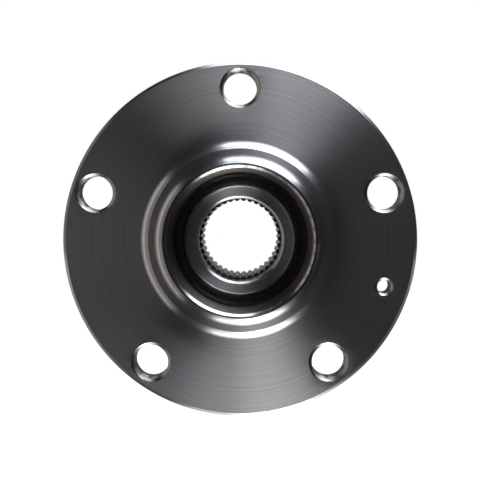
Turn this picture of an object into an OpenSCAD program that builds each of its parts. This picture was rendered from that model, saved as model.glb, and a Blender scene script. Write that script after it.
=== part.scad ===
// Driven wheel hub with its double-row angular-contact wheel bearing.
// Millimetres. The axle lies along Y and the wheel side faces -Y, with +Z up.
// The origin is on the axle, in the flange face that the brake disc rests on.
// Profiles are drawn as [radius, height], with height 0 in that face and
// growing towards the wheel. Bearing profiles count height outward from the
// bearing's own middle, and one half is the mirror image of the other.

/* [Flange] */
// Diameter of the flange
flange_d = 131; // [126:0.5:150]
// Thickness of the flange
flange_t = 12; // [9:0.5:16]
// Chamfer round the front edge of the rim
rim_front_chamfer = 1.1; // [0.3:0.1:2]
// Chamfer round the back edge of the rim
rim_back_chamfer = 0.8; // [0.3:0.1:2]

/* [Wheel bolt holes] */
// Number of wheel bolts
bolt_count = 5; // [3:1:6]
// Distance from the bolt circle to the rim, which puts that circle at 112 mm
bolt_edge = 9.5; // [9:0.1:14]
// Drilled diameter of each bolt hole
bolt_hole_d = 12.5; // [10:0.1:14]
// Width of the chamfer at the front of each bolt hole
bolt_front_chamfer = 1.25; // [0.3:0.05:1.5]
// Width of the chamfer at the back of each bolt hole
bolt_back_chamfer = 0.5; // [0.2:0.05:1]
// Angle across the countersink that cuts these chamfers
sink_angle = 120; // [90:5:120]

/* [Disc screw hole] */
// Drilled diameter of the disc screw hole
screw_hole_d = 5; // [4:0.1:7]
// Width of the chamfer at each end of the screw hole
screw_chamfer = 1; // [0.2:0.1:1.5]
// Angle of the screw hole from the horizontal
screw_angle = -18; // [-24:1:-12]

/* [Disc and wheel pilots] */
// Diameter that centres the brake disc
disc_pilot_d = 68; // [66:0.1:74]
// Height of the disc pilot above the flange face
disc_pilot_h = 4.5; // [3:0.1:6]
// Diameter that centres the wheel
wheel_pilot_d = 57.1; // [56:0.1:60]
// Height of the wheel pilot above the flange face
wheel_pilot_h = 10; // [8.5:0.1:14]
// Radius of the fillet at the foot of each pilot
pilot_fillet = 3; // [1:0.1:3.4]
// Chamfer at the top of each pilot
pilot_chamfer = 0.3; // [0.2:0.1:0.8]
// Width of the flat ring at the top of the wheel pilot
pilot_land = 0.8; // [0.3:0.1:1]

/* [Cup behind the wheel pilot] */
// Width of the chamfer inside the cup's mouth
cup_chamfer = 0.9; // [0.3:0.1:1.5]
// Thickness of the wheel pilot's wall at the cup floor
cup_wall = 3.55; // [2.5:0.05:5]
// Depth of the cup floor below the flange face
cup_depth = 6; // [3:0.5:6.5]
// Radius of the fillet round the cup floor
cup_fillet = 2.5; // [1:0.1:3]
// Width of the cup floor round the axle bolt's seat
moat_w = 4.1; // [3.6:0.1:5]
// Chamfer round the axle bolt's seat
seat_chamfer = 0.5; // [0.2:0.1:1]
// How far the seat's side leans out towards the cup floor
seat_lean = 0.8; // [0:0.1:1.2]

/* [Axle bore] */
// Step from the bottom of the spline gaps out to the plain bore ahead of them
plain_step = 0.3; // [0.1:0.05:1]
// Width of the chamfer at the mouth of the plain bore
bore_chamfer = 0.8; // [0.3:0.1:1.2]
// Length from the seat to the start of the splines
spline_start = 13; // [8:0.5:16]
// Length of the splines
spline_len = 30; // [20:0.5:34]
// Number of spline teeth
spline_teeth = 38; // [30:1:44]
// Diameter of the splines at the bottom of the gaps
spline_root_d = 30.2; // [29:0.1:31]
// Height of the spline teeth
tooth_h = 0.75; // [0.6:0.05:1.1]
// Part of the tooth pitch that is tooth, at the top of a tooth
spline_tip_share = 0.36; // [0.2:0.01:0.5]
// Part of the tooth pitch that is gap, at the bottom of a gap
spline_root_share = 0.16; // [0.1:0.01:0.4]
// Step from the bottom of the spline gaps out to the relief behind them
end_step = 0.9; // [0.4:0.1:2]
// Chamfer at the inboard mouth of the axle bore
end_chamfer = 1; // [0.4:0.1:1.5]

/* [Bearing] */
// Bore of the bearing, and diameter of the hub's journal
bearing_bore = 43; // [42:0.5:44]
// Outer diameter of the bearing
bearing_od = 82; // [81:0.5:86]
// Width of the bearing
bearing_w = 37; // [36:0.5:40]
// Gap from the back of the flange to the bearing
bearing_gap = 7; // [5:0.5:10]
// How far the journal ends short of the bearing's inboard face
journal_setback = 1.2; // [0.5:0.1:2]
// Width of the plain end of the neck, between its fillet and the bearing
neck_land = 1; // [0.5:0.1:2]
// Step from the inner rings' outer face down to the neck
neck_step = 0.5; // [0.2:0.1:1]
// Diameter of each ball
ball_d = 12; // [11:0.1:12.2]
// Number of balls in each row
ball_count = 14; // [12:1:14]
// Distance from the bearing's middle to the balls
row_gap = 2; // [1.5:0.1:2.4]
// Running gap between a ball and its raceways
race_gap = 0.05; // [0.03:0.01:0.1]
// Gap from a cage out to the outer ring, between the two raceways
outer_mid_gap = 1.1; // [0.6:0.1:1.6]
// Gap from a cage out to the outer ring, beside the seals
outer_lip_gap = 1.9; // [1.2:0.1:2.4]
// Thickness of the outer ring round the seal seats
seal_wall = 4.6; // [4:0.1:5.2]
// Depth of each seal seat
seal_seat_w = 3.9; // [3.6:0.1:4.2]
// Gap from a cage in to the inner rings, where these meet
inner_mid_gap = 2.2; // [1.6:0.1:2.8]
// Gap from a cage in to the inner rings, beside the seals
inner_land_gap = 1.1; // [0.6:0.1:1.6]
// Chamfer on the outer corners of the bearing rings
ring_chamfer = 1; // [0.4:0.1:1.5]

/* [Inner ring clip] */
// Thickness of the clip's band
clip_t = 0.7; // [0.5:0.1:0.8]
// Height of the hook at each edge of the clip
clip_hook = 0.45; // [0.3:0.05:0.6]
// Width of each hook
clip_hook_w = 0.7; // [0.5:0.1:1]
// Width of the clip
clip_w = 5.2; // [4:0.1:6]
// Gap round the clip in its recess
clip_gap = 0.15; // [0.05:0.05:0.2]

/* [Cages] */
// Thickness of the cage band
cage_t = 3.7; // [3:0.1:4]
// Gap from the bearing's middle to each cage
cage_inset = 0.9; // [0.6:0.1:1.1]
// How far the claws reach past the ball centres
claw_reach = 2.6; // [2:0.1:3]
// Running gap between a ball and its pocket
pocket_gap = 0.2; // [0.1:0.05:0.25]
// Width of the slot between two claws
claw_slot = 1.2; // [0.6:0.1:1.4]

/* [Seals] */
// Thickness of the pressed steel seal case
case_t = 0.7; // [0.5:0.1:0.8]
// How far the seal case and slinger lie inside the ring faces
seal_inset = 0.2; // [0.1:0.05:0.4]
// Gap from the slinger's sleeve to the seal case, which the rubber bridges
case_gap = 2.7; // [2.2:0.1:3.2]
// Thickness of the slinger
slinger_t = 0.6; // [0.5:0.1:0.7]
// Gap round the slinger, inside the seal case
slinger_gap = 0.5; // [0.3:0.05:0.8]
// Thickness of the magnet ring on the inboard slinger
magnet_t = 0.8; // [0.5:0.1:1]
// Gap from the slinger's sleeve out to the magnet ring
magnet_gap = 1.3; // [0.6:0.1:2.2]
// Running gap between a rubber lip and the slinger
lip_gap = 0.2; // [0.1:0.05:0.25]
// Thickness of the rubber lips
lip_t = 0.4; // [0.3:0.05:0.5]
// How far the outer lip leans outward
lip_lean = 0.8; // [0.4:0.1:1]

/* [Hidden] */
// Smoothness of the preview; the circles are true circles
$fn = 96;
// A hair, for cuts that must break through a face
eps = 0.01;
// How far a cut runs past the face it opens on
over = 1;

flange_r = flange_d / 2;
bolt_circle_r = flange_r - bolt_edge;
disc_pilot_r = disc_pilot_d / 2;
wheel_pilot_r = wheel_pilot_d / 2;
journal_r = bearing_bore / 2;

bearing_face = -flange_t - bearing_gap;
bearing_mid = bearing_face - bearing_w / 2;
journal_end = bearing_face - bearing_w + journal_setback;
neck_fillet = bearing_gap - neck_land;

cup_top_r = wheel_pilot_r - pilot_chamfer - pilot_land;
cup_mouth_r = cup_top_r - cup_chamfer;
cup_floor_r = wheel_pilot_r - cup_wall;
seat_foot_r = cup_floor_r - moat_w;
seat_r = seat_foot_r - seat_lean;

spline_end = spline_start + spline_len;
spline_root_r = spline_root_d / 2;
spline_tip_r = spline_root_r - tooth_h;
gap_start_r = spline_tip_r - over;
plain_r = spline_root_r + plain_step;
end_r = spline_root_r + end_step;

half_w = bearing_w / 2;
pitch_r = (bearing_bore + bearing_od) / 4;
ball_r = ball_d / 2;
race_r = ball_r + race_gap;
row_offset = ball_r + row_gap;
seal_floor = half_w - seal_seat_w;

clip_r = journal_r + clip_gap;
clip_recess_r = clip_r + clip_t + clip_gap;
clip_groove_r = clip_recess_r + clip_hook;

cage_in_r = pitch_r - cage_t / 2;
cage_out_r = pitch_r + cage_t / 2;
claw_end = row_offset + claw_reach;

outer_mid_r = cage_out_r + outer_mid_gap;
outer_lip_r = cage_out_r + outer_lip_gap;
seal_seat_r = bearing_od / 2 - seal_wall;
inner_mid_r = cage_in_r - inner_mid_gap;
inner_land_r = cage_in_r - inner_land_gap;
neck_r = inner_land_r - neck_step;

seal_out = half_w - seal_inset;
seal_in = seal_floor + seal_inset;
case_in_r = seal_seat_r - case_t;
sleeve_r = inner_land_r + slinger_t;
case_hole_r = sleeve_r + case_gap;
slinger_r = case_in_r - slinger_gap;
slinger_out = seal_out - magnet_t;
slinger_in = slinger_out - slinger_t;

function ball_name(row, i) = str(row, "_ball_", i < 10 ? "0" : "", i);
BALLS = [for (row = ["outboard", "inboard"], i = [1:ball_count]) ball_name(row, i)];
RINGS = ["hub", "outer_ring", "outboard_inner_ring", "inboard_inner_ring", "inner_ring_clip",
    "outboard_cage", "inboard_cage"];
SEALS = ["outboard_seal_case", "outboard_seal_lip", "outboard_slinger",
    "inboard_seal_case", "inboard_seal_lip", "inboard_slinger", "encoder_ring"];

// The same points on the other side of height 0, in reverse order
function below(points) = [for (i = [len(points) - 1:-1:0]) [points[i].x, -points[i].y]];

// Turns a shape drawn round the Z axis so that its top faces the wheel
module along_axle() {
    rotate([90, 0, 0]) children();
}

// Places one half of the bearing: side 1 is outboard and side -1 is inboard
module bearing_half(side) {
    along_axle() translate([0, 0, bearing_mid])
        mirror([0, 0, side < 0 ? 1 : 0]) children();
}

// A ring that fills an inside corner of a turned part: the corner is at [x, y], it opens
// towards [to_x, to_y], and r is the fillet's radius
module corner_fillet(x, y, r, to_x, to_y) {
    rotate_extrude() difference() {
        translate([x, y]) scale([to_x, to_y]) translate([-over, -over]) square(r + over);
        translate([x + to_x * r, y + to_y * r]) circle(r);
    }
}

// A drill with a countersink at both faces of the flange
module flange_drill(d, front, back) {
    r = d / 2;
    slope = tan(sink_angle / 2);
    front_h = front / slope + over;
    back_h = back / slope + over;
    translate([0, 0, -flange_t - over]) cylinder(r = r, h = flange_t + 2 * over);
    translate([0, 0, over - front_h]) cylinder(r1 = r, r2 = r + front_h * slope, h = front_h);
    translate([0, 0, -flange_t - over]) cylinder(r1 = r + back_h * slope, r2 = r, h = back_h);
}

module bolt_holes() {
    for (i = [0:bolt_count - 1])
        rotate(90 + i * 360 / bolt_count) translate([bolt_circle_r, 0, 0])
            flange_drill(bolt_hole_d, bolt_front_chamfer, bolt_back_chamfer);
}

module screw_hole() {
    rotate(screw_angle) translate([bolt_circle_r, 0, 0])
        flange_drill(screw_hole_d, screw_chamfer, screw_chamfer);
}

// The turned hub, with its bore still to be cut
module hub_body() {
    rotate_extrude() polygon([
        [gap_start_r, 0],
        [seat_r - seat_chamfer, 0],
        [seat_r, -seat_chamfer],
        [seat_foot_r, -cup_depth],
        [cup_floor_r, -cup_depth],
        [cup_floor_r, cup_fillet - cup_depth],
        [cup_mouth_r, wheel_pilot_h - cup_chamfer],
        [cup_top_r, wheel_pilot_h],
        [wheel_pilot_r - pilot_chamfer, wheel_pilot_h],
        [wheel_pilot_r, wheel_pilot_h - pilot_chamfer],
        [wheel_pilot_r, disc_pilot_h],
        [disc_pilot_r - pilot_chamfer, disc_pilot_h],
        [disc_pilot_r, disc_pilot_h - pilot_chamfer],
        [disc_pilot_r, 0],
        [flange_r - rim_front_chamfer, 0],
        [flange_r, -rim_front_chamfer],
        [flange_r, rim_back_chamfer - flange_t],
        [flange_r - rim_back_chamfer, -flange_t],
        [neck_r, -flange_t],
        [neck_r, bearing_face],
        [journal_r, bearing_face],
        [journal_r, journal_end + end_chamfer],
        [journal_r - end_chamfer, journal_end],
        [gap_start_r, journal_end],
    ]);
    corner_fillet(wheel_pilot_r, disc_pilot_h, pilot_fillet, 1, 1);
    corner_fillet(disc_pilot_r, 0, pilot_fillet, 1, 1);
    corner_fillet(neck_r, -flange_t, neck_fillet, 1, -1);
    corner_fillet(cup_floor_r, -cup_depth, cup_fillet, -1, 1);
}

// The bore through the hub: plain ahead of the splines and wider behind them
module axle_bore() {
    rotate_extrude() polygon([
        [0, over],
        [plain_r + bore_chamfer + over, over],
        [plain_r, -bore_chamfer],
        [plain_r, -spline_start],
        [spline_root_r, -spline_start],
        [spline_tip_r, -spline_start - tooth_h],
        [spline_tip_r, -spline_end + tooth_h],
        [spline_root_r, -spline_end],
        [end_r, -spline_end],
        [end_r, journal_end + end_chamfer],
        [end_r + end_chamfer + over, journal_end - over],
        [0, journal_end - over],
    ]);
}

// The gaps between the teeth, broached from end to end of the splines
module spline_gaps() {
    pitch = 360 / spline_teeth;
    tip_gap = pitch * (1 - spline_tip_share) / 2;
    root_gap = pitch * spline_root_share / 2;
    for (i = [0:spline_teeth - 1])
        rotate(90 + i * pitch) translate([0, 0, -spline_end - eps])
            linear_extrude(spline_len + 2 * eps) polygon([
                [gap_start_r, -gap_start_r * sin(tip_gap)],
                spline_tip_r * [cos(tip_gap), -sin(tip_gap)],
                spline_root_r * [cos(root_gap), -sin(root_gap)],
                spline_root_r * [cos(root_gap), sin(root_gap)],
                spline_tip_r * [cos(tip_gap), sin(tip_gap)],
                [gap_start_r, gap_start_r * sin(tip_gap)],
            ]);
}

module hub() {
    color("#77777c") along_axle() difference() {
        hub_body();
        axle_bore();
        spline_gaps();
        bolt_holes();
        screw_hole();
    }
}

// The ball track that is cut out of the outer ring and out of an inner ring
module raceway() {
    rotate_extrude() translate([pitch_r, row_offset]) circle(race_r);
}

module outer_ring() {
    out_r = bearing_od / 2;
    half = [
        [outer_mid_r, row_offset],
        [outer_lip_r, row_offset],
        [outer_lip_r, seal_floor],
        [seal_seat_r, seal_floor],
        [seal_seat_r, half_w],
        [out_r - ring_chamfer, half_w],
        [out_r, half_w - ring_chamfer],
    ];
    color("#8c8e92") along_axle() translate([0, 0, bearing_mid]) difference() {
        rotate_extrude() polygon(concat(half, below(half)));
        raceway();
        mirror([0, 0, 1]) raceway();
    }
}

// One inner ring, with the recess for half of the clip in its bore
module inner_ring() {
    hook_out = clip_w / 2 + clip_gap;
    hook_in = clip_w / 2 - clip_hook_w - clip_gap;
    difference() {
        rotate_extrude() polygon([
            [clip_recess_r, 0],
            [inner_mid_r, 0],
            [inner_mid_r, row_offset],
            [inner_land_r, row_offset],
            [inner_land_r, half_w],
            [journal_r + ring_chamfer, half_w],
            [journal_r, half_w - ring_chamfer],
            [journal_r, hook_out],
            [clip_groove_r, hook_out],
            [clip_groove_r, hook_in],
            [clip_recess_r, hook_in],
        ]);
        raceway();
    }
}

module outboard_inner_ring() {
    color("#96989c") bearing_half(1) inner_ring();
}

module inboard_inner_ring() {
    color("#96989c") bearing_half(-1) inner_ring();
}

// The hooked band that keeps the two inner rings together off the hub
module inner_ring_clip() {
    edge = clip_w / 2;
    half = [
        [clip_r, edge],
        [clip_r + clip_t + clip_hook, edge],
        [clip_r + clip_t + clip_hook, edge - clip_hook_w],
        [clip_r + clip_t, edge - clip_hook_w],
    ];
    color("#b0b2b4") along_axle() translate([0, 0, bearing_mid])
        rotate_extrude() polygon(concat(half, below(half)));
}

// A snap cage: a band with a round pocket for each ball, open at its outer side
module cage() {
    difference() {
        rotate_extrude() polygon([
            [cage_in_r, cage_inset],
            [cage_out_r, cage_inset],
            [cage_out_r, claw_end],
            [cage_in_r, claw_end],
        ]);
        at_balls() sphere(ball_r + pocket_gap);
        rotate(180 / ball_count) at_balls() rotate([0, 90, 0])
            translate([-claw_reach, 0, 0]) cylinder(d = claw_slot, h = 2 * cage_t, center = true);
    }
}

module outboard_cage() {
    color("#c9b98d") bearing_half(1) cage();
}

module inboard_cage() {
    color("#c9b98d") bearing_half(-1) cage();
}

// Repeats a shape at each ball of a row
module at_balls() {
    for (i = [1:ball_count]) at_ball(i) children();
}

module at_ball(i) {
    rotate(90 + (i - 1) * 360 / ball_count) translate([pitch_r, 0, row_offset]) children();
}

module ball(side, i) {
    color("#d4d6da") bearing_half(side) at_ball(i) sphere(ball_r);
}

// The pressed steel case that holds a seal in the outer ring
module seal_case() {
    rotate_extrude() polygon([
        [case_hole_r, seal_in],
        [seal_seat_r, seal_in],
        [seal_seat_r, seal_out],
        [case_in_r, seal_out],
        [case_in_r, seal_in + case_t],
        [case_hole_r, seal_in + case_t],
    ]);
}

// The rubber on the case's inner edge, with an axial and a radial lip
module seal_lip() {
    root_out = seal_in + case_t;
    sweep_r = sleeve_r + lip_gap;
    rotate_extrude() polygon([
        [case_hole_r, seal_in],
        [case_hole_r, root_out],
        [case_hole_r + lip_lean + lip_t, slinger_in - lip_gap],
        [case_hole_r + lip_lean, slinger_in - lip_gap],
        [case_hole_r - lip_t, root_out + lip_t],
        [sweep_r + 2 * lip_t, root_out + lip_t],
        [sweep_r + lip_t, slinger_in - lip_gap],
        [sweep_r, slinger_in - lip_gap],
        [sweep_r + lip_t, seal_in],
    ]);
}

// The steel ring on the inner ring that the lips run against
module slinger() {
    rotate_extrude() polygon([
        [inner_land_r, seal_in],
        [sleeve_r, seal_in],
        [sleeve_r, slinger_in],
        [slinger_r, slinger_in],
        [slinger_r, slinger_out],
        [inner_land_r, slinger_out],
    ]);
}

module outboard_seal_case() {
    color("#a8a294") bearing_half(1) seal_case();
}

module inboard_seal_case() {
    color("#a8a294") bearing_half(-1) seal_case();
}

module outboard_seal_lip() {
    color("#2b2b2e") bearing_half(1) seal_lip();
}

module inboard_seal_lip() {
    color("#2b2b2e") bearing_half(-1) seal_lip();
}

module outboard_slinger() {
    color("#b4b6b8") bearing_half(1) slinger();
}

module inboard_slinger() {
    color("#b4b6b8") bearing_half(-1) slinger();
}

// The magnet ring that the wheel speed sensor reads, bonded to the inboard slinger
module encoder_ring() {
    color("#3a3330") bearing_half(-1) rotate_extrude() polygon([
        [sleeve_r + magnet_gap, slinger_out],
        [slinger_r, slinger_out],
        [slinger_r, slinger_out + magnet_t],
        [sleeve_r + magnet_gap, slinger_out + magnet_t],
    ]);
}

hub();
outer_ring();
outboard_inner_ring();
inboard_inner_ring();
inner_ring_clip();
outboard_cage();
inboard_cage();
outboard_seal_case();
inboard_seal_case();
outboard_seal_lip();
inboard_seal_lip();
outboard_slinger();
inboard_slinger();
encoder_ring();
for (i = [1:ball_count]) {
    ball(1, i);
    ball(-1, i);
}
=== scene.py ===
"""Looks of the driven wheel hub and its bearing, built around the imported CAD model.

Blender works in metres; sizes and points here are in millimetres, apart from those of the
camera, the lamps and the stage.
The axle lies along Y. Profiles are [radius, y], with y 0 in the face the brake disc rests on
and growing inboard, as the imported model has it.
"""
import math
from typing import NamedTuple

import bpy
import numpy as np
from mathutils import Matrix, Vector
from mathutils.geometry import delaunay_2d_cdt


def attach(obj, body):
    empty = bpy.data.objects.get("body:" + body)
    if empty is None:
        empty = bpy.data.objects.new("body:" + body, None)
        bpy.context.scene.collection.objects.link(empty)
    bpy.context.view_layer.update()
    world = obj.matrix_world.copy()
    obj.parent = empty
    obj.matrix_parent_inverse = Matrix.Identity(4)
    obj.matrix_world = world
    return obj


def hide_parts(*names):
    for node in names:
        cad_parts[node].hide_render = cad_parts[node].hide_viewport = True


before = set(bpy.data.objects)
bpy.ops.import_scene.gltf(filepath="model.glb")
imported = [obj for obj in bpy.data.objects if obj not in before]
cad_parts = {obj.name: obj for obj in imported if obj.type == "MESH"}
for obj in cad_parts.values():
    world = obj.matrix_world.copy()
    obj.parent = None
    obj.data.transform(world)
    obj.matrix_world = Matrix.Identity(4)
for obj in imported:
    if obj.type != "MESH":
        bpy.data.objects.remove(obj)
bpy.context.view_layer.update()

MM = 0.001

# Sizes, the same as the CAD model's

FLANGE_R = 65.5
FLANGE_T = 12.0
RIM_FRONT_CHAMFER = 1.1
RIM_BACK_CHAMFER = 0.8

BOLT_ANGLES = [90 + 72 * i for i in range(5)]
BOLT_EDGE = 9.5  # from the bolt circle to the rim
BOLT_CIRCLE_R = FLANGE_R - BOLT_EDGE
BOLT_R = 6.25
BOLT_FRONT_CHAMFER = 1.25
BOLT_BACK_CHAMFER = 0.5
BOLT_THREAD_R = 7.0
BOLT_THREAD_PITCH = 1.5

SCREW_ANGLE = -18
SCREW_R = 2.5
SCREW_CHAMFER = 1.0
SCREW_THREAD_R = 3.0
SCREW_THREAD_PITCH = 1.0
SINK_SLOPE = math.tan(math.radians(60))

DISC_PILOT_R = 34.0
DISC_PILOT_H = 4.5
WHEEL_PILOT_R = 28.55
WHEEL_PILOT_H = 10.0
PILOT_FILLET = 3.0
PILOT_CHAMFER = 0.3
PILOT_LAND = 0.8
CUP_CHAMFER = 0.9
CUP_WALL = 3.55
CUP_DEPTH = 6.0
CUP_FILLET = 2.5
MOAT_W = 4.1
SEAT_CHAMFER = 0.5
SEAT_FOOT_FILLET = 0.6
SEAT_LEAN = 0.8
CUP_TOP_R = WHEEL_PILOT_R - PILOT_CHAMFER - PILOT_LAND
CUP_MOUTH_R = CUP_TOP_R - CUP_CHAMFER
CUP_FLOOR_R = WHEEL_PILOT_R - CUP_WALL
SEAT_FOOT_R = CUP_FLOOR_R - MOAT_W
SEAT_R = SEAT_FOOT_R - SEAT_LEAN

SPLINE_TEETH = 38
SPLINE_START = 13.0
SPLINE_LEN = 30.0
SPLINE_END = SPLINE_START + SPLINE_LEN
SPLINE_ROOT_R = 15.1
TOOTH_H = 0.75
SPLINE_TIP_R = SPLINE_ROOT_R - TOOTH_H
PLAIN_STEP = 0.3
PLAIN_R = SPLINE_ROOT_R + PLAIN_STEP
BORE_CHAMFER = 0.8
END_STEP = 0.9
END_R = SPLINE_ROOT_R + END_STEP
END_CHAMFER = 1.0

JOURNAL_R = 21.5
OUTER_R = 41.0
HALF_W = 18.5
BEARING_GAP = 7.0
BEARING_FACE = FLANGE_T + BEARING_GAP
BEARING_MID = BEARING_FACE + HALF_W
JOURNAL_SETBACK = 1.2
JOURNAL_END = BEARING_MID + HALF_W - JOURNAL_SETBACK
RING_CHAMFER = 1.0

BALL_R = 6.0
RACE_GAP = 0.05
RACE_R = BALL_R + RACE_GAP
ROW_GAP = 2.0  # from the bearing's middle to the balls
ROW_OFFSET = BALL_R + ROW_GAP
PITCH_R = (JOURNAL_R + OUTER_R) / 2
CAGE_T = 3.7
CAGE_IN_R = PITCH_R - CAGE_T / 2
CAGE_OUT_R = PITCH_R + CAGE_T / 2
OUTER_MID_GAP = 1.1
OUTER_MID_R = CAGE_OUT_R + OUTER_MID_GAP
OUTER_LIP_GAP = 1.9
OUTER_LIP_R = CAGE_OUT_R + OUTER_LIP_GAP
INNER_MID_GAP = 2.2
INNER_MID_R = CAGE_IN_R - INNER_MID_GAP
INNER_LAND_GAP = 1.1
INNER_LAND_R = CAGE_IN_R - INNER_LAND_GAP
NECK_STEP = 0.5
NECK_R = INNER_LAND_R - NECK_STEP
NECK_LAND = 1.0
NECK_FILLET = BEARING_GAP - NECK_LAND

CLIP_HALF_W = 2.6
CLIP_GAP = 0.15
CLIP_T = 0.7
CLIP_HOOK = 0.45
CLIP_HOOK_W = 0.7

SEAL_WALL = 4.6
SEAL_SEAT_R = OUTER_R - SEAL_WALL
SEAL_SEAT_W = 3.9
SEAL_FLOOR = HALF_W - SEAL_SEAT_W
SEAL_INSET = 0.2
SEAL_IN = SEAL_FLOOR + SEAL_INSET
SEAL_OUT = HALF_W - SEAL_INSET
CASE_T = 0.7
SLINGER_T = 0.6
SLINGER_GAP = 0.5
SLINGER_R = SEAL_SEAT_R - CASE_T - SLINGER_GAP
SLEEVE_R = INNER_LAND_R + SLINGER_T
CASE_GAP = 2.7
CASE_HOLE_R = SLEEVE_R + CASE_GAP
MAGNET_T = 0.8
MAGNET_GAP = 1.3
MAGNET_R = SLEEVE_R + MAGNET_GAP
LIP_GAP = 0.2
LIP_T = 0.4
LIP_LEAN = 0.8

# Mesh making

SHARP_DEG = 32
EDGE = 0.12  # radius that a machined edge is broken to
FILLET_STEP_DEG = 9
EDGE_STEP_DEG = 22
LARGEST_EDGE_R = 1
SHORTEST_STEP = 1e-4
RING_SEGMENTS = 256
OUTER_RING_SEGMENTS = 360


def rounded(points):
    """Rounds the corners of an open profile. Each point is (r, y) or (r, y, radius)."""
    corners = [np.array(p[:2], float) for p in points]
    lengths = [np.linalg.norm(b - a) for a, b in zip(corners, corners[1:])]
    halves, cuts = [0.0] * len(points), [0.0] * len(points)
    for i in range(1, len(points) - 1):
        if len(points[i]) > 2:
            before = (corners[i - 1] - corners[i]) / lengths[i - 1]
            after = (corners[i + 1] - corners[i]) / lengths[i]
            halves[i] = math.acos(max(-1, min(1, float(before @ after)))) / 2
            cuts[i] = points[i][2] / math.tan(halves[i])
    fits = [min(1, length / max(a + b, 1e-9)) for length, a, b in zip(lengths, cuts, cuts[1:])]
    out = []
    for i, here in enumerate(corners):
        if cuts[i] == 0:
            out.append(tuple(here))
            continue
        cut = cuts[i] * min(fits[i - 1], fits[i])
        before = (corners[i - 1] - here) / lengths[i - 1]
        after = (corners[i + 1] - here) / lengths[i]
        radius = cut * math.tan(halves[i])
        turn = math.pi - 2 * halves[i]
        towards = (before + after) / np.linalg.norm(before + after)
        centre = here + towards * radius / math.sin(halves[i])
        step_deg = FILLET_STEP_DEG if radius > LARGEST_EDGE_R else EDGE_STEP_DEG
        steps = max(2, round(math.degrees(turn) / step_deg))
        start = here + before * cut - centre
        end = here + after * cut - centre
        for k in range(steps + 1):
            t = k / steps
            arm = (math.sin((1 - t) * turn) * start + math.sin(t * turn) * end) / math.sin(turn)
            out.append(tuple(centre + arm))
    return [p for i, p in enumerate(out) if i == 0 or math.dist(p, out[i - 1]) > SHORTEST_STEP]


class MeshParts:
    """Vertices and faces gathered for one object, in millimetres."""

    def __init__(self):
        self.vertices, self.faces, self.slots = [], [], []

    def loop(self, radii, ys, angles, centre=(0.0, 0.0)):
        """Adds a closed loop of vertices round the Y direction and gives their indices."""
        first = len(self.vertices)
        radii, ys = np.broadcast_to(radii, len(angles)), np.broadcast_to(ys, len(angles))
        for r, y, a in zip(radii, ys, angles):
            self.vertices.append((centre[0] + r * math.cos(a), y, centre[1] + r * math.sin(a)))
        return list(range(first, first + len(angles)))

    def bridge(self, a, b, slot=0):
        """Joins two loops of the same length with quads. slot is one number or one for each."""
        n = len(a)
        for i in range(n):
            j = (i + 1) % n
            self.faces.append((a[i], a[j], b[j], b[i]))
        self.slots.extend(np.broadcast_to(slot, n).tolist())

    def make(self, name, materials, body, nodes, flip=False):
        mesh = bpy.data.meshes.new(name)
        co = np.array(self.vertices) * MM
        mesh.from_pydata(co.tolist(), [], self.faces)
        for m in materials:
            mesh.materials.append(m)
        mesh.polygons.foreach_set("material_index", self.slots)
        mesh.polygons.foreach_set("use_smooth", [True] * len(self.faces))
        if flip:
            mesh.flip_normals()
        mesh.update()
        obj = bpy.data.objects.new(name, mesh)
        bpy.context.scene.collection.objects.link(obj)
        mark_sharp(mesh)
        weigh = obj.modifiers.new("weighted normals", "WEIGHTED_NORMAL")
        weigh.keep_sharp = True
        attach(obj, body)
        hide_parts(*nodes)


def mark_sharp(mesh):
    """Marks the edges whose faces turn by more than SHARP_DEG."""
    normals = np.zeros(len(mesh.polygons) * 3)
    mesh.polygons.foreach_get("normal", normals)
    normals = normals.reshape(-1, 3)
    edge_of = np.zeros(len(mesh.loops), int)
    mesh.loops.foreach_get("edge_index", edge_of)
    totals = np.zeros(len(mesh.polygons), int)
    mesh.polygons.foreach_get("loop_total", totals)
    owner = np.repeat(np.arange(len(mesh.polygons)), totals)
    first = np.full(len(mesh.edges), -1)
    second = np.full(len(mesh.edges), -1)
    order = np.argsort(edge_of, kind="stable")
    edges, owners = edge_of[order], owner[order]
    lead = np.r_[True, edges[1:] != edges[:-1]]
    first[edges[lead]] = owners[lead]
    second[edges[~lead]] = owners[~lead]
    both = (first >= 0) & (second >= 0)
    turn = np.ones(len(mesh.edges))
    turn[both] = (normals[first[both]] * normals[second[both]]).sum(1)
    sharp = turn < math.cos(math.radians(SHARP_DEG))
    mesh.attributes.new("sharp_edge", "BOOLEAN", "EDGE").data.foreach_set("value", sharp)


def lathe(name, profile, materials, body, nodes, segments=RING_SEGMENTS):
    """A ring turned from a closed profile."""
    angles = np.linspace(0, 2 * math.pi, segments, endpoint=False)
    parts = MeshParts()
    loops = [parts.loop(r, y, angles) for r, y in profile]
    for a, b in zip(loops, loops[1:] + loops[:1]):
        parts.bridge(a, b)
    following = profile[1:] + profile[:1]
    area = sum(a[0] * b[1] - b[0] * a[1] for a, b in zip(profile, following))
    parts.make(name, materials, body, nodes, flip=area > 0)


def closed(points):
    """Rounds every corner of a closed profile."""
    ring = [points[-1]] + list(points) + [points[0]]
    return rounded(ring)[1:-1]


def half_profile(points, side):
    """Bearing points given as (r, distance from the middle) at one side: -1 outboard, 1 inboard."""
    return [(p[0], BEARING_MID + side * p[1], *p[2:]) for p in points]


# Materials

MARKS_PER_MM = 1.3
RECESS_SHADE_FROM_TO = (4.2, 6.0)  # depth over which the cup's wall darkens to its painted shade


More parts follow.
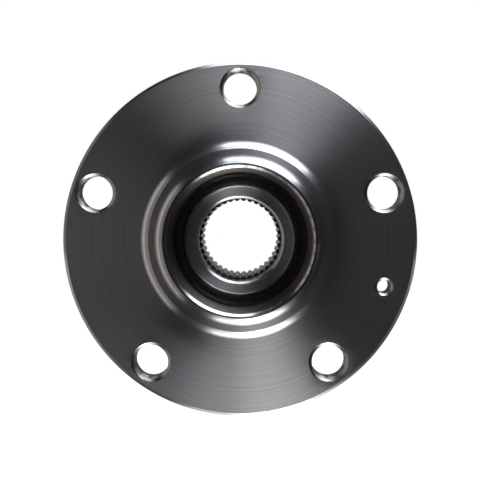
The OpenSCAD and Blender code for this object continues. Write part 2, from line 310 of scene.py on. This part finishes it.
class Nodes:
    """A short way to write a material's nodes."""

    def __init__(self, name):
        self.material = bpy.data.materials.new(name)
        self.material.use_nodes = True
        self.tree = self.material.node_tree
        self.tree.nodes.clear()
        out = self.tree.nodes.new("ShaderNodeOutputMaterial")
        self.bsdf = self.tree.nodes.new("ShaderNodeBsdfPrincipled")
        self.tree.links.new(self.bsdf.outputs[0], out.inputs[0])

    def put(self, socket, value):
        if isinstance(value, bpy.types.NodeSocket):
            self.tree.links.new(value, socket)
        elif value is not None:
            socket.default_value = value

    def set(self, **values):
        for key, value in values.items():
            self.put(self.bsdf.inputs[key.replace("_", " ").title()], value)

    def math(self, operation, a, b=None):
        node = self.tree.nodes.new("ShaderNodeMath")
        node.operation = operation
        for socket, value in zip(node.inputs, (a, b)):
            self.put(socket, value)
        return node.outputs[0]

    def noise(self, vector=None, w=None, scale=1.0, detail=2.0, roughness=0.5, dimensions="3D"):
        node = self.tree.nodes.new("ShaderNodeTexNoise")
        node.noise_dimensions = dimensions
        for key, value in (("Vector", vector), ("W", w), ("Scale", scale), ("Detail", detail),
                           ("Roughness", roughness)):
            if value is not None:
                self.put(node.inputs[key], value)
        return node.outputs["Fac"]

    def remap(self, value, low, high, from_low=0.25, from_high=0.75):
        node = self.tree.nodes.new("ShaderNodeMapRange")
        for key, v in (("Value", value), ("From Min", from_low), ("From Max", from_high),
                       ("To Min", low), ("To Max", high)):
            self.put(node.inputs[key], v)
        return node.outputs[0]

    def mix(self, factor, a, b, blend="MIX"):
        node = self.tree.nodes.new("ShaderNodeMix")
        node.data_type = "RGBA"
        node.blend_type = blend
        self.put(node.inputs["Factor"], factor)
        self.put(node.inputs[6], a)
        self.put(node.inputs[7], b)
        return node.outputs[2]

    def bump(self, height, strength, distance):
        node = self.tree.nodes.new("ShaderNodeBump")
        self.put(node.inputs["Height"], height)
        node.inputs["Strength"].default_value = strength
        node.inputs["Distance"].default_value = distance
        return node.outputs[0]

    def object_position(self):
        return self.tree.nodes.new("ShaderNodeTexCoord").outputs["Object"]

    def split(self, vector):
        node = self.tree.nodes.new("ShaderNodeSeparateXYZ")
        self.put(node.inputs[0], vector)
        return node.outputs

    def axle_tangent(self):
        """The direction round the axle, along the turning marks."""
        node = self.tree.nodes.new("ShaderNodeTangent")
        node.direction_type = "RADIAL"
        node.axis = "Y"
        return node.outputs[0]

    def radius_mm(self, x, z):
        square = self.math("ADD", self.math("MULTIPLY", x, x), self.math("MULTIPLY", z, z))
        return self.math("MULTIPLY", self.math("SQRT", square), 1000.0)


def turned_metal(name, colour, rough, anisotropy, contrast=0.10, recess_shade=None):
    """Steel with fine turning marks round the axle.

    contrast is how much lighter and darker the marks are. The last argument is painted shade: the
    darker colour that the inside of a recess turns to.
    """
    n = Nodes(name)
    position = n.object_position()
    x, y, z = n.split(position)
    depth = n.math("MULTIPLY", y, 1000.0)
    along = n.math("ADD", n.radius_mm(x, z), depth)
    lines = n.noise(w=along, scale=MARKS_PER_MM, detail=2.0, roughness=0.65, dimensions="1D")
    cloud = n.noise(vector=position, scale=38.0, detail=3.0)
    # Painted shade: the colour darkens with depth inside the recess.
    if recess_shade:
        colour = n.mix(n.remap(depth, 0.0, 1.0, *RECESS_SHADE_FROM_TO), colour, recess_shade)
    dark = n.mix(1.0, colour, (1 - contrast,) * 3 + (1,), "MULTIPLY")
    light = n.mix(1.0, colour, (1 + contrast,) * 3 + (1,), "MULTIPLY")
    n.set(base_color=n.mix(n.remap(lines, 0.0, 1.0, 0.3, 0.7), dark, light), metallic=1.0,
          roughness=n.math("ADD", n.remap(cloud, rough - 0.012, rough + 0.012),
                           n.remap(lines, -0.01, 0.01)),
          anisotropic=anisotropy, anisotropic_rotation=0.25, tangent=n.axle_tangent())
    return n.material


def plain_metal(name, colour, rough, grain=60.0, marks=0.06, edge=1.0):
    """Steel with a fine even grain. edge is how much of the glancing shine it keeps."""
    n = Nodes(name)
    position = n.object_position()
    cloud = n.noise(vector=position, scale=grain, detail=4.0, roughness=0.6)
    speck = n.noise(vector=position, scale=grain * 22, detail=2.0)
    dark = tuple(c * 0.86 for c in colour[:3]) + (1.0,)
    n.set(base_color=n.mix(n.remap(cloud, 0.0, 1.0), dark, colour), metallic=1.0,
          roughness=n.remap(speck, rough - marks, rough + marks),
          specular_tint=(edge, edge, edge, 1.0), normal=n.bump(speck, 0.2, 0.02 * MM))
    return n.material


def moulded(name, colour, rough, grain=900.0, depth=0.02):
    """Rubber or plastic with a fine moulded grain."""
    n = Nodes(name)
    position = n.object_position()
    cloud = n.noise(vector=position, scale=70.0, detail=3.0)
    pores = n.noise(vector=position, scale=grain, detail=3.0, roughness=0.65)
    dark = tuple(c * 0.8 for c in colour[:3]) + (1.0,)
    n.set(base_color=n.mix(n.remap(cloud, 0.0, 1.0), dark, colour),
          roughness=n.remap(cloud, rough - 0.05, rough + 0.07),
          normal=n.bump(pores, 0.3, depth * MM))
    return n.material


turned_steel = turned_metal("turned_steel", (0.42, 0.425, 0.44, 1), 0.315, 0.88)
chamfer_steel = turned_metal("chamfer_steel", (0.36, 0.36, 0.37, 1), 0.26, 0.7)
# Painted shade: the same turned steel made darker, so that the wheel pilot's land looks shaded.
land_painted_shade_steel = turned_metal("land_painted_shade_steel", (0.16, 0.16, 0.165, 1), 0.315, 0.88)
# The cup's own brown-grey steel, with painted shade that darkens it with depth down to the moat
# floor.
cup_steel_and_painted_shade = turned_metal("cup_steel_and_painted_shade", (0.31, 0.28, 0.265, 1), 0.285, 0.8,
                         recess_shade=(0.10, 0.105, 0.12, 1))
sink_steel = plain_metal("sink_steel", (0.17, 0.168, 0.165, 1), 0.30)
thread_steel = plain_metal("thread_steel", (0.18, 0.175, 0.17, 1), 0.45)
spline_steel = plain_metal("spline_steel", (0.17, 0.172, 0.166, 1), 0.28, edge=0.2)
# Painted shade: the slopes at the teeth's ends are made nearly black, for the dark side that they
# face.
tooth_end_painted_shade = plain_metal("tooth_end_painted_shade", (0.08, 0.08, 0.08, 1), 0.40)
ring_steel = turned_metal("ring_steel", (0.50, 0.50, 0.52, 1), 0.18, 0.55, contrast=0.04)
spring_steel = turned_metal("spring_steel", (0.45, 0.45, 0.47, 1), 0.25, 0.4)
pressed_steel = turned_metal("pressed_steel", (0.48, 0.47, 0.44, 1), 0.33, 0.3)
stainless_sheet = turned_metal("stainless_sheet", (0.55, 0.55, 0.56, 1), 0.24, 0.4)
ball_steel = plain_metal("ball_steel", (0.62, 0.63, 0.65, 1), 0.07, marks=0.02)
cage_polyamide = moulded("cage_polyamide", (0.62, 0.54, 0.36, 1), 0.5)
seal_rubber = moulded("seal_rubber", (0.03, 0.03, 0.032, 1), 0.55)
magnet_rubber = moulded("magnet_rubber", (0.05, 0.045, 0.042, 1), 0.62, grain=1500.0)

# Hub

FLAT, LAND, CHAMFER, CUP, SINK, THREAD, SPLINE, TOOTH_END = range(8)
HUB_MATERIALS = [turned_steel, land_painted_shade_steel, chamfer_steel, cup_steel_and_painted_shade, sink_steel, thread_steel,
                 spline_steel, tooth_end_painted_shade]


# Offset from a tooth's middle, in tooth pitches, and how far from tip to root the spline is there
TOOTH_SHAPE = [(0, 0), (0.12, 0.01), (0.2, 0.06), (0.25, 0.16), (0.31, 0.42), (0.38, 0.76),
               (0.44, 0.97), (0.5, 1)]
TOOTH_END_REACH = 0.43  # offset out to which the slope at a tooth's end gets painted shade
LEAD_IN_LOOPS = 7
SAME_R = 0.01  # radii closer than this are the same surface
THREAD_CREST = 0.25  # part of the thread's pitch that is flat at the crest
THREAD_FLANKS = 0.625  # part of it that is flank
FACE_RINGS = (41.5, 46.5, 61.5)  # radii of extra points that keep the flat face's triangles even
FACE_RING_POINTS = 120
FACE_HOLE_MARGIN = 1.5
CDT_CONVEX = 0  # asks for every triangle, those in the gaps too
CDT_EPSILON = 1e-7


class Hole(NamedTuple):
    """A tapped hole through the flange, with a countersink at both faces."""
    angle: float
    radius: float
    thread_radius: float
    pitch: float
    front_chamfer: float
    back_chamfer: float
    points: int
    step: float

    def centre(self):
        a = math.radians(self.angle)
        return BOLT_CIRCLE_R * math.cos(a), BOLT_CIRCLE_R * math.sin(a)


HOLES = [Hole(a, BOLT_R, BOLT_THREAD_R, BOLT_THREAD_PITCH, BOLT_FRONT_CHAMFER, BOLT_BACK_CHAMFER,
              points=64, step=0.15) for a in BOLT_ANGLES]
HOLES.append(Hole(SCREW_ANGLE, SCREW_R, SCREW_THREAD_R, SCREW_THREAD_PITCH, SCREW_CHAMFER,
                  SCREW_CHAMFER, points=48, step=0.12))


def tooth_angles():
    """Angles round the axle, closest together at the corners of the spline teeth."""
    right = [offset for offset, _ in TOOTH_SHAPE]
    steps = [-offset for offset in right[-2:0:-1]] + right
    pitch = 2 * math.pi / SPLINE_TEETH
    first = math.pi / 2 + pitch / 2
    return np.array([first + (i + s) * pitch for i in range(SPLINE_TEETH) for s in steps]), \
        np.tile(np.abs(steps), SPLINE_TEETH)


def tooth_radii(offset):
    """Radius of the spline at each offset from a tooth's middle, in tooth pitches."""
    share = np.interp(offset, *zip(*TOOTH_SHAPE))
    return SPLINE_TIP_R + TOOTH_H * share


def thread_radii(hole, y, angles):
    """Radius of a hole at one depth, with its thread and its countersinks."""
    sink = max(hole.radius + hole.front_chamfer - y * SINK_SLOPE,
               hole.radius + hole.back_chamfer - (FLANGE_T - y) * SINK_SLOPE)
    if not 0 < y < FLANGE_T:
        return np.full(len(angles), sink)
    turn = (y / hole.pitch + angles / (2 * math.pi)) % 1
    from_crest = np.abs(2 * turn - 1)
    groove = np.clip((from_crest - THREAD_CREST) / THREAD_FLANKS, 0, 1)
    return np.maximum(hole.radius + (hole.thread_radius - hole.radius) * groove, sink)


def drill(parts, hole):
    """Adds a hole's wall and gives its loops in the front and the back face."""
    angles = np.linspace(0, 2 * math.pi, hole.points, endpoint=False)
    walls = [parts.loop(thread_radii(hole, y, angles), y, angles, hole.centre())
             for y in np.linspace(0, FLANGE_T, round(FLANGE_T / hole.step) + 1)]
    sunk = round(hole.front_chamfer / SINK_SLOPE / hole.step)
    for i in range(len(walls) - 1):
        parts.bridge(walls[i], walls[i + 1], SINK if i < sunk else THREAD)
    return walls[0], walls[-1]


def flange_face(parts, outer, inner, hole_loops, y):
    """Fills the flat face between two loops and leaves the holes open."""
    gaps = [inner, *hole_loops]
    rings = [outer] + gaps
    flat = [v for ring in rings for v in ring]
    keep_off = [(hole.centre(), hole.radius + FACE_HOLE_MARGIN
                 + (hole.front_chamfer if y == 0 else hole.back_chamfer)) for hole in HOLES]
    for r in FACE_RINGS:
        for a in np.linspace(0, 2 * math.pi, FACE_RING_POINTS, endpoint=False):
            p = (r * math.cos(a), r * math.sin(a))
            if all(math.dist(p, centre) > reach for centre, reach in keep_off):
                flat.append(len(parts.vertices))
                parts.vertices.append((p[0], y, p[1]))
    place = {v: i for i, v in enumerate(flat)}
    edges = [(place[ring[i]], place[ring[(i + 1) % len(ring)]])
             for ring in rings for i in range(len(ring))]
    coords = [Vector((parts.vertices[v][0], parts.vertices[v][2])) for v in flat]
    _, _, triangles, origins, _, _ = delaunay_2d_cdt(coords, edges, [], CDT_CONVEX, CDT_EPSILON,
                                                     True)
    gap_of = {v: i for i, ring in enumerate(gaps) for v in ring}
    for triangle in triangles:
        corners = [flat[origins[i][0]] for i in triangle]
        touched = {gap_of.get(v) for v in corners}
        in_gap = len(touched) == 1 and None not in touched  # all its corners edge the same gap
        if in_gap:
            continue
        a, b, c = (Vector(parts.vertices[v]) for v in corners)
        towards_wheel = (b - a).cross(c - a).y < 0
        if towards_wheel != (y == 0):
            corners.reverse()
        parts.faces.append(tuple(corners))
        parts.slots.append(FLAT)


def wheel_side():
    """Profile from the foot of the disc pilot to the cup's mouth."""
    return rounded([
        (DISC_PILOT_R + PILOT_FILLET, 0),
        (DISC_PILOT_R, 0, PILOT_FILLET),
        (DISC_PILOT_R, PILOT_CHAMFER - DISC_PILOT_H, EDGE),
        (DISC_PILOT_R - PILOT_CHAMFER, -DISC_PILOT_H, EDGE),
        (WHEEL_PILOT_R, -DISC_PILOT_H, PILOT_FILLET),
        (WHEEL_PILOT_R, PILOT_CHAMFER - WHEEL_PILOT_H, EDGE),
        (WHEEL_PILOT_R - PILOT_CHAMFER, -WHEEL_PILOT_H, EDGE),
        (CUP_TOP_R, -WHEEL_PILOT_H, EDGE),
        (CUP_MOUTH_R, CUP_CHAMFER - WHEEL_PILOT_H, EDGE),
    ])


def wheel_side_kind(r, y):
    """The finish at a point of that profile; the land gets the steel with painted shade."""
    if r < CUP_TOP_R - EDGE / 2:
        return CHAMFER
    on_land = y < EDGE / 2 - WHEEL_PILOT_H and r < WHEEL_PILOT_R - PILOT_CHAMFER
    return LAND if on_land else FLAT


def cup_side():
    """Profile from the cup's mouth to the start of the splines."""
    return rounded([
        (CUP_MOUTH_R, CUP_CHAMFER - WHEEL_PILOT_H),
        (CUP_FLOOR_R, CUP_DEPTH - CUP_FILLET),
        (CUP_FLOOR_R, CUP_DEPTH, CUP_FILLET),
        (SEAT_FOOT_R, CUP_DEPTH, SEAT_FOOT_FILLET),
        (SEAT_R, SEAT_CHAMFER, EDGE),
        (SEAT_R - SEAT_CHAMFER, 0, EDGE),
        (PLAIN_R + BORE_CHAMFER, 0, EDGE),
        (PLAIN_R, BORE_CHAMFER, EDGE),
        (PLAIN_R, SPLINE_START),
    ])


def cup_side_kind(r):
    """The finish at a point of that profile."""
    if r > SEAT_R + EDGE:
        return CUP
    return SPLINE if r < PLAIN_R + SAME_R else FLAT


def back_side():
    """Profile from the end of the splines round the journal to the back of the flange."""
    return rounded([
        (SPLINE_ROOT_R, SPLINE_END),
        (END_R, SPLINE_END),
        (END_R, JOURNAL_END - END_CHAMFER, EDGE),
        (END_R + END_CHAMFER, JOURNAL_END, EDGE),
        (JOURNAL_R - END_CHAMFER, JOURNAL_END, EDGE),
        (JOURNAL_R, JOURNAL_END - END_CHAMFER, EDGE),
        (JOURNAL_R, BEARING_FACE),
        (NECK_R, BEARING_FACE),
        (NECK_R, FLANGE_T, NECK_FILLET),
        (NECK_R + NECK_FILLET, FLANGE_T),
    ])


def rim_side():
    """Profile of the flange's rim, from the front face to the back."""
    return rounded([
        (FLANGE_R - RIM_FRONT_CHAMFER, 0),
        (FLANGE_R, RIM_FRONT_CHAMFER, EDGE),
        (FLANGE_R, FLANGE_T - RIM_BACK_CHAMFER, EDGE),
        (FLANGE_R - RIM_BACK_CHAMFER, FLANGE_T),
    ])


def spline_loops(parts, angles, offset):
    """Loops along the splines, which slope at 45 degrees at both ends, and their finishes, with
    painted shade on the slopes at the teeth's ends.
    """
    profile = tooth_radii(offset)
    tooth_ends = np.where(offset < TOOTH_END_REACH, TOOTH_END, SPLINE)
    steps = np.linspace(0, 1, LEAD_IN_LOOPS)
    loops, kinds = [], []
    for y in [*(SPLINE_START + TOOTH_H * steps), *(SPLINE_END - TOOTH_H * steps[::-1])]:
        lead_in = SPLINE_ROOT_R - min(y - SPLINE_START, SPLINE_END - y)
        loops.append(parts.loop(np.maximum(profile, lead_in), y, angles))
        kinds.append(SPLINE if lead_in < SPLINE_TIP_R + SAME_R else tooth_ends)
    return loops, kinds


def make_hub():
    parts = MeshParts()
    angles, offset = tooth_angles()
    loops, kinds = [], []
    for r, y in wheel_side():
        loops.append(parts.loop(r, y, angles))
        kinds.append(wheel_side_kind(r, y))
    for r, y in cup_side()[1:]:
        loops.append(parts.loop(r, y, angles))
        kinds.append(cup_side_kind(r))
    along_splines, spline_kinds = spline_loops(parts, angles, offset)
    loops += along_splines
    kinds += spline_kinds
    for r, y in back_side()[1:]:
        loops.append(parts.loop(r, y, angles))
        kinds.append(FLAT)
    for i in range(len(loops) - 1):
        parts.bridge(loops[i], loops[i + 1], kinds[i + 1])
    rims = [parts.loop(r, y, angles) for r, y in rim_side()]
    for i in range(len(rims) - 1):
        parts.bridge(rims[i + 1], rims[i], FLAT)
    fronts, backs = zip(*[drill(parts, hole) for hole in HOLES])
    flange_face(parts, rims[0], loops[0], fronts, 0)
    flange_face(parts, rims[-1], loops[-1], backs, FLANGE_T)
    parts.make("hub_turned", HUB_MATERIALS, "hub_rotor", ["hub"])


make_hub()

# Bearing

OUT, IN = -1, 1
RACE_POINTS = 22


def race_arc(towards_outer):
    """The ball track's arc in one ring, from the middle of the bearing towards one side."""
    start_r = OUTER_MID_R if towards_outer else INNER_MID_R
    end_r = OUTER_LIP_R if towards_outer else INNER_LAND_R
    start = math.asin((start_r - PITCH_R) / RACE_R)
    end = math.asin((end_r - PITCH_R) / RACE_R)
    half_turn = math.pi if towards_outer else -math.pi
    return [(PITCH_R + RACE_R * math.sin(t), ROW_OFFSET + RACE_R * math.cos(t))
            for t in np.linspace(half_turn - start, end, RACE_POINTS)]


def make_outer_ring():
    half = [
        *race_arc(True),
        (OUTER_LIP_R, SEAL_FLOOR, EDGE),
        (SEAL_SEAT_R, SEAL_FLOOR),
        (SEAL_SEAT_R, HALF_W, 0.2),
        (OUTER_R - RING_CHAMFER, HALF_W, 0.25),
        (OUTER_R, HALF_W - RING_CHAMFER, 0.25),
    ]
    other = [(p[0], -p[1], *p[2:]) for p in reversed(half)]
    profile = [(r, BEARING_MID + y) for r, y in closed(half + other)]
    lathe("outer_ring_ground", profile, [ring_steel], "bearing_outer", ["outer_ring"],
          segments=OUTER_RING_SEGMENTS)


def make_inner_ring(side, name, node):
    recess = JOURNAL_R + CLIP_GAP + CLIP_T + CLIP_GAP
    groove = recess + CLIP_HOOK
    hook_out = CLIP_HALF_W + CLIP_GAP
    hook_in = CLIP_HALF_W - CLIP_HOOK_W - CLIP_GAP
    profile = half_profile([
        (recess, 0),
        (INNER_MID_R, 0, EDGE),
        *race_arc(False),
        (INNER_LAND_R, HALF_W, 0.3),
        (JOURNAL_R + RING_CHAMFER, HALF_W, 0.25),
        (JOURNAL_R, HALF_W - RING_CHAMFER, 0.25),
        (JOURNAL_R, hook_out),
        (groove, hook_out),
        (groove, hook_in),
        (recess, hook_in),
    ], side)
    lathe(name, closed(profile), [ring_steel], "hub_rotor", [node])


def make_seal(side, word):
    lip_tip = SEAL_OUT - MAGNET_T - SLINGER_T - LIP_GAP
    root = SEAL_IN + CASE_T
    sweep = SLEEVE_R + LIP_GAP
    case = half_profile([
        (CASE_HOLE_R, SEAL_IN), (SEAL_SEAT_R, SEAL_IN, 0.35), (SEAL_SEAT_R, SEAL_OUT, 0.1),
        (SEAL_SEAT_R - CASE_T, SEAL_OUT, 0.1), (SEAL_SEAT_R - CASE_T, root, 0.3),
        (CASE_HOLE_R, root)], side)
    lip = half_profile([
        (CASE_HOLE_R, SEAL_IN), (CASE_HOLE_R, root),
        (CASE_HOLE_R + LIP_LEAN + LIP_T, lip_tip, 0.08),
        (CASE_HOLE_R + LIP_LEAN, lip_tip, 0.08), (CASE_HOLE_R - LIP_T, root + LIP_T, 0.2),
        (sweep + 2 * LIP_T, root + LIP_T, 0.2), (sweep + LIP_T, lip_tip, 0.08),
        (sweep, lip_tip, 0.08), (sweep + LIP_T, SEAL_IN, 0.1)], side)
    sling_in = SEAL_OUT - MAGNET_T - SLINGER_T
    sling = half_profile([
        (INNER_LAND_R, SEAL_IN), (SLEEVE_R, SEAL_IN, 0.1), (SLEEVE_R, sling_in, 0.15),
        (SLINGER_R, sling_in, 0.15), (SLINGER_R, SEAL_OUT - MAGNET_T, 0.15),
        (INNER_LAND_R, SEAL_OUT - MAGNET_T, 0.35)], side)
    lathe(f"{word}_seal_case_pressed", closed(case), [pressed_steel], "bearing_outer",
          [f"{word}_seal_case"])
    lathe(f"{word}_seal_lip_moulded", closed(lip), [seal_rubber], "bearing_outer",
          [f"{word}_seal_lip"])
    lathe(f"{word}_slinger_pressed", closed(sling), [stainless_sheet], "hub_rotor",
          [f"{word}_slinger"])


def make_encoder():
    magnet = half_profile([
        (MAGNET_R, SEAL_OUT - MAGNET_T), (SLINGER_R, SEAL_OUT - MAGNET_T),
        (SLINGER_R, SEAL_OUT, 0.25), (MAGNET_R, SEAL_OUT, 0.25)], IN)
    lathe("encoder_ring_moulded", closed(magnet), [magnet_rubber], "hub_rotor",
          ["encoder_ring"])


make_outer_ring()
make_inner_ring(OUT, "outboard_inner_ring_ground", "outboard_inner_ring")
make_inner_ring(IN, "inboard_inner_ring_ground", "inboard_inner_ring")
make_seal(OUT, "outboard")
make_seal(IN, "inboard")
make_encoder()

FINISH = {"inner_ring_clip": spring_steel, "outboard_cage": cage_polyamide,
          "inboard_cage": cage_polyamide}
for node_name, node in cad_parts.items():
    finish = ball_steel if "_ball_" in node_name else FINISH.get(node_name)
    if finish:
        node.data.materials.clear()
        node.data.materials.append(finish)

# Camera

SCENE = bpy.context.scene
IMAGE_PX = 480
FOCAL_PX = 1219.0
CAMERA_DISTANCE = 0.450
CAMERA_AZIMUTH = 0.4
CAMERA_ELEVATION = 2.3
SENSOR_MM = 36.0


def make_camera():
    """A camera aimed at the origin, with azimuth 0 straight in front of the wheel side."""
    data = bpy.data.cameras.new("camera")
    data.sensor_width = SENSOR_MM
    data.lens = SENSOR_MM * FOCAL_PX / IMAGE_PX
    camera = bpy.data.objects.new("camera", data)
    azimuth, elevation = math.radians(CAMERA_AZIMUTH), math.radians(CAMERA_ELEVATION)
    away = Vector((math.sin(azimuth) * math.cos(elevation),
                   -math.cos(azimuth) * math.cos(elevation), math.sin(elevation)))
    camera.location = away * CAMERA_DISTANCE
    camera.rotation_mode = "QUATERNION"
    camera.rotation_quaternion = (-away).to_track_quat("-Z", "Y")
    SCENE.collection.objects.link(camera)
    SCENE.camera = camera


make_camera()

# Light and stage

BACKDROP_FROM_TO = (0.35, 0.7)  # part of a direction that points inboard, from dark to white
STUDIO_DARK = 0.014
STUDIO_WHITE = 0.9
FLOOR_HALF_W = 6
FLOOR_START = 0.5
FLOOR_END = 9
FLOOR_Z = -0.8


def softbox(name, azimuth_deg, radius, y, depth, across, watts, colour, aim_y=None):
    """A lamp beside the axle; seen from the camera 0 degrees is to the right and 90 is up.

    depth is its size along the axle and across is its size round it. It faces the point of the
    axle straight across from it, or the one at aim_y. Lengths are in metres.
    """
    data = bpy.data.lights.new(name, "AREA")
    data.shape = "RECTANGLE"
    data.size, data.size_y = depth, across
    data.energy = watts
    data.color = colour
    a = math.radians(azimuth_deg)
    light = bpy.data.objects.new(name, data)
    light.location = (radius * math.cos(a), y, radius * math.sin(a))
    light.rotation_mode = "QUATERNION"
    facing = Vector((0, y if aim_y is None else aim_y, 0)) - light.location
    light.rotation_quaternion = facing.to_track_quat("-Z", "Y")
    light.visible_camera = False
    SCENE.collection.objects.link(light)


class StageNodes(Nodes):
    """Nodes of the world or of the floor, where white is what the camera sees behind the part."""

    def __init__(self, tree):
        self.tree = tree
        tree.nodes.clear()

    def shader(self, kind, **values):
        node = self.tree.nodes.new(kind)
        for key, value in values.items():
            self.put(node.inputs[key], value)
        return node.outputs[0]

    def finish(self, kind, shader):
        self.put(self.tree.nodes.new(kind).inputs[0], shader)

    def seen(self):
        """Two factors: 1 for rays that metal or glass sends on, and 1 for rays from the camera."""
        path = self.tree.nodes.new("ShaderNodeLightPath").outputs
        mirrored = self.math("MAXIMUM", path["Is Glossy Ray"], path["Is Transmission Ray"])
        return mirrored, path["Is Camera Ray"]


def make_world():
    """The studio: dark on the camera's side, and white behind the part."""
    world = bpy.data.worlds.new("white_surround")
    SCENE.world = world
    world.use_nodes = True
    n = StageNodes(world.node_tree)
    inboard = n.split(n.tree.nodes.new("ShaderNodeTexCoord").outputs["Generated"])[1]
    mirrored, direct = n.seen()
    backdrop = n.math("MULTIPLY", mirrored, n.remap(inboard, 0.0, 1.0, *BACKDROP_FROM_TO))
    white = n.math("MAXIMUM", direct, backdrop)
    ambient = n.remap(inboard, STUDIO_DARK, STUDIO_WHITE, *BACKDROP_FROM_TO)
    strength = n.math("MAXIMUM", ambient, white)
    n.finish("ShaderNodeOutputWorld",
             n.shader("ShaderNodeBackground", Color=(1, 1, 1, 1), Strength=strength))


def make_floor():
    mesh = bpy.data.meshes.new("floor")
    mesh.from_pydata([(-FLOOR_HALF_W, FLOOR_START, FLOOR_Z), (FLOOR_HALF_W, FLOOR_START, FLOOR_Z),
                      (FLOOR_HALF_W, FLOOR_END, FLOOR_Z), (-FLOOR_HALF_W, FLOOR_END, FLOOR_Z)],
                     [], [(0, 1, 2, 3)])
    floor = bpy.data.objects.new("floor", mesh)
    SCENE.collection.objects.link(floor)
    paint = bpy.data.materials.new("floor_paint")
    paint.use_nodes = True
    n = StageNodes(paint.node_tree)
    mirrored, direct = n.seen()
    both = n.tree.nodes.new("ShaderNodeAddShader")
    n.put(both.inputs[0], n.shader("ShaderNodeBsdfDiffuse", Color=(0.85, 0.85, 0.85, 1)))
    n.put(both.inputs[1],
          n.shader("ShaderNodeEmission", Strength=n.math("MAXIMUM", direct, mirrored)))
    n.finish("ShaderNodeOutputMaterial", both.outputs[0])
    mesh.materials.append(paint)


softbox("top_softbox", 73, 0.60, -0.25, 0.58, 0.64, 6.6, (0.94, 0.96, 1.0))
softbox("top_core", 67, 0.62, -0.25, 0.50, 0.30, 3.8, (0.94, 0.96, 1.0))
softbox("bottom_softbox", 277, 0.60, -0.34, 0.56, 0.54, 4.6, (1.0, 1.0, 0.96))
softbox("bottom_core", 281, 0.62, -0.26, 0.50, 0.24, 4.0, (1.0, 1.0, 0.96))
softbox("left_fill", 184, 0.70, -0.48, 0.66, 1.3, 3.3, (1.0, 0.92, 0.85))
softbox("front_fill", 340, 0.22, -0.95, 0.50, 0.5, 0.016, (0.66, 0.80, 1.0), aim_y=0)
make_world()
make_floor()

SCENE.view_settings.view_transform = "Standard"
